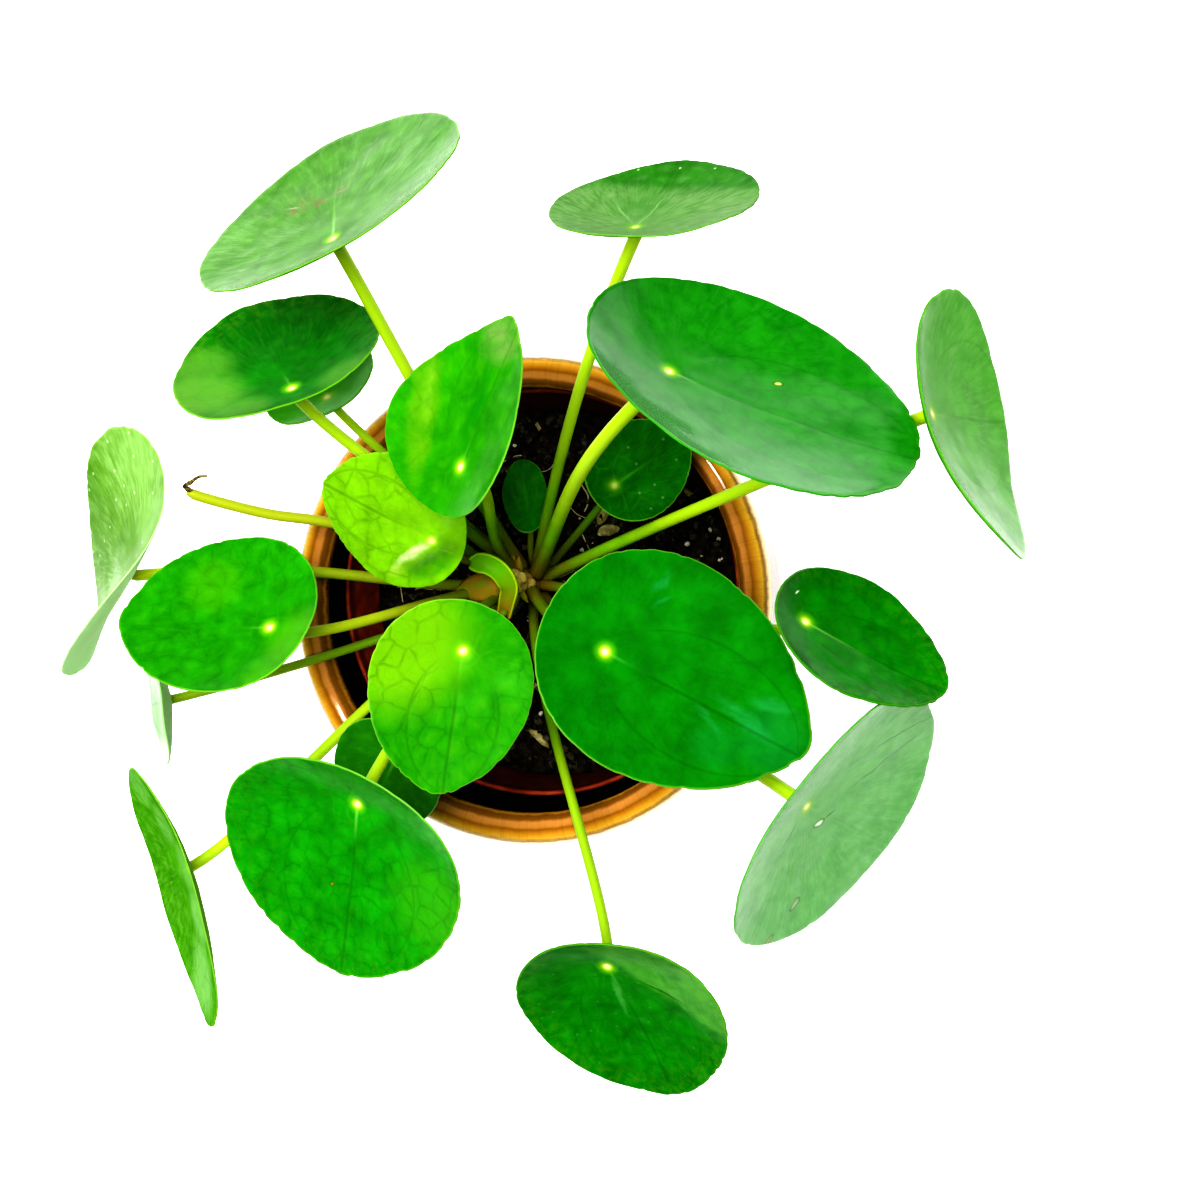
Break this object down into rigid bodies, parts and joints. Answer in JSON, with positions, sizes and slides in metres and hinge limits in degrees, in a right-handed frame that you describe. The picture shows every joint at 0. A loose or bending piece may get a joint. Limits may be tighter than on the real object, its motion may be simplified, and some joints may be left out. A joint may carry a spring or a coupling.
{
  "type": "potted pilea plant",
  "caption": "Potted pilea houseplant: round peltate leaves on long arching petioles round a short stem, in a plastic nursery pot inside a tapered glazed cachepot.",
  "frame": {"origin": "centre of the cachepot's flat base, on the surface it stands on", "axes": "+Z up; +Y is up in the picture, +X is right in it"},
  "size_m": [0.2911, 0.2804, 0.2418],
  "materials": {
    "glaze": "gloss",
    "nursery_plastic": "satin",
    "potting_soil": "matte",
    "stem_bark": "matte",
    "leaf_green": "satin",
    "young_leaf": "satin",
    "petiole": "satin"
  },
  "bodies": {
    "root": {"cachepot": "glaze", "nursery_pot": "nursery_plastic", "soil": "potting_soil", "main_stem": "stem_bark", "leaf_01_petiole": "petiole", "leaf_01_blade": "leaf_green", "leaf_02_petiole": "petiole", "leaf_02_blade": "leaf_green", "leaf_03_petiole": "petiole", "leaf_03_blade": "leaf_green", "leaf_04_petiole": "petiole", "leaf_04_blade": "leaf_green", "leaf_05_petiole": "petiole", "leaf_05_blade": "young_leaf", "leaf_06_petiole": "petiole", "leaf_06_blade": "young_leaf", "leaf_07_petiole": "petiole", "leaf_07_blade": "leaf_green", "leaf_08_petiole": "petiole", "leaf_08_blade": "leaf_green", "leaf_09_petiole": "petiole", "leaf_09_blade": "leaf_green", "leaf_10_petiole": "petiole", "leaf_10_blade": "leaf_green", "leaf_11_petiole": "petiole", "leaf_11_blade": "leaf_green", "leaf_12_petiole": "petiole", "leaf_12_blade": "leaf_green", "leaf_13_petiole": "petiole", "leaf_13_blade": "leaf_green", "leaf_14_petiole": "petiole", "leaf_14_blade": "young_leaf", "leaf_15_petiole": "petiole", "leaf_15_blade": "leaf_green", "leaf_16_petiole": "petiole", "leaf_16_blade": "leaf_green", "leaf_17_petiole": "petiole", "leaf_17_blade": "leaf_green", "leaf_18_petiole": "petiole", "leaf_18_blade": "leaf_green", "leaf_19_petiole": "petiole", "leaf_19_blade": "leaf_green", "leaf_20_petiole": "petiole", "leaf_20_blade": "leaf_green", "leaf_21_petiole": "petiole", "leaf_21_blade": "leaf_green", "bare_petiole": "petiole", "folded_leaf": "young_leaf"}
  },
  "joints": []
}
